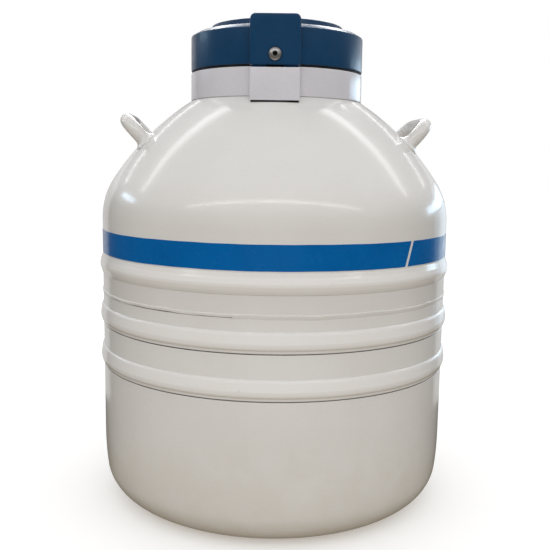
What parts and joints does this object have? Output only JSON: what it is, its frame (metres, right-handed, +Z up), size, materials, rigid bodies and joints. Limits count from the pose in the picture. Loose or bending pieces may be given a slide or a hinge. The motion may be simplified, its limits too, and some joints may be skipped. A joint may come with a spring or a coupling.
{
  "type": "liquid nitrogen dewar",
  "caption": "Ribbed aluminium vacuum flask for liquid nitrogen, with side handles, a lift-off lid with a foam neck plug, a lock block and hanging sample canisters.",
  "frame": {"origin": "on the surface the vessel stands on, under the vessel's axis", "axes": "+Z up along the vessel's axis, -Y towards the lock block on the front of the lid, +X to the right seen from the front"},
  "size_m": [0.508, 0.508, 0.674],
  "materials": {
    "enamel": "gloss off-white enamel on aluminium",
    "stripe_film": "gloss blue vinyl film",
    "aluminium": "machined and spun",
    "glass_fibre": "resin-bonded glass fibre",
    "foil_blanket": "crinkled foil and glass paper",
    "adsorbent_bag": "woven glass bag",
    "white_plastic": "satin moulded",
    "collar_plastic": "semi-gloss moulded, pale lavender grey",
    "lid_plastic": "semi-gloss moulded, dark blue",
    "steel": "plain stainless",
    "black_steel": "blackened, satin",
    "canister_steel": "rolled stainless sheet",
    "brass": "turned",
    "seal_rubber": "matt black",
    "foam": "rigid closed-cell foam",
    "tag_red": "dipped",
    "tag_yellow": "dipped",
    "tag_green": "dipped",
    "tag_blue": "dipped",
    "tag_white": "dipped",
    "tag_orange": "dipped"
  },
  "bodies": {
    "vessel": {"outer_shell_lower": "enamel", "outer_shell_upper": "enamel", "girth_weld": "enamel", "stripe_band": "stripe_film", "handle_left": "enamel", "handle_right": "enamel", "neck_ring": "aluminium", "neck_tube": "glass_fibre", "inner_neck_ring": "aluminium", "inner_vessel_floor": "aluminium", "inner_vessel_body": "aluminium", "inner_vessel_head": "aluminium", "insulation_blanket": "foil_blanket", "adsorbent_pack": "adsorbent_bag", "canister_spider": "white_plastic", "index_ring": "white_plastic", "collar": "collar_plastic", "collar_screws": "steel", "port_boss": "enamel", "port_plug": "brass", "port_seal": "seal_rubber"},
    "lid": {"lid_cover": "lid_plastic", "lid_gasket": "seal_rubber", "plug_plate": "white_plastic", "plate_screws": "steel", "neck_plug": "foam", "lock_tongue": "black_steel", "lock_screw": "steel", "lock_nut": "steel"},
    "port_cap": {"port_cap": "collar_plastic"},
    "canister_1": {"canister_1": "canister_steel", "hook_rod_1": "canister_steel", "hook_tag_1": "tag_red"},
    "canister_2": {"canister_2": "canister_steel", "hook_rod_2": "canister_steel", "hook_tag_2": "tag_yellow"},
    "canister_3": {"canister_3": "canister_steel", "hook_rod_3": "canister_steel", "hook_tag_3": "tag_green"},
    "canister_4": {"canister_4": "canister_steel", "hook_rod_4": "canister_steel", "hook_tag_4": "tag_blue"},
    "canister_5": {"canister_5": "canister_steel", "hook_rod_5": "canister_steel", "hook_tag_5": "tag_white"},
    "canister_6": {"canister_6": "canister_steel", "hook_rod_6": "canister_steel", "hook_tag_6": "tag_orange"}
  },
  "joints": [
    {"name": "lid_lift", "type": "slide", "parent": "vessel", "child": "lid", "axis": [0, 0, 1], "range_m": [0, 0.3]},
    {"name": "port_cap_pull", "type": "slide", "parent": "vessel", "child": "port_cap", "axis": [0, 0.7223, 0.6916], "range_m": [0, 0.03]},
    {"name": "canister_1_lift", "type": "slide", "parent": "vessel", "child": "canister_1", "axis": [0, 0, 1], "range_m": [0, 0.02]},
    {"name": "canister_2_lift", "type": "slide", "parent": "vessel", "child": "canister_2", "axis": [0, 0, 1], "range_m": [0, 0.02]},
    {"name": "canister_3_lift", "type": "slide", "parent": "vessel", "child": "canister_3", "axis": [0, 0, 1], "range_m": [0, 0.02]},
    {"name": "canister_4_lift", "type": "slide", "parent": "vessel", "child": "canister_4", "axis": [0, 0, 1], "range_m": [0, 0.02]},
    {"name": "canister_5_lift", "type": "slide", "parent": "vessel", "child": "canister_5", "axis": [0, 0, 1], "range_m": [0, 0.02]},
    {"name": "canister_6_lift", "type": "slide", "parent": "vessel", "child": "canister_6", "axis": [0, 0, 1], "range_m": [0, 0.02]}
  ]
}
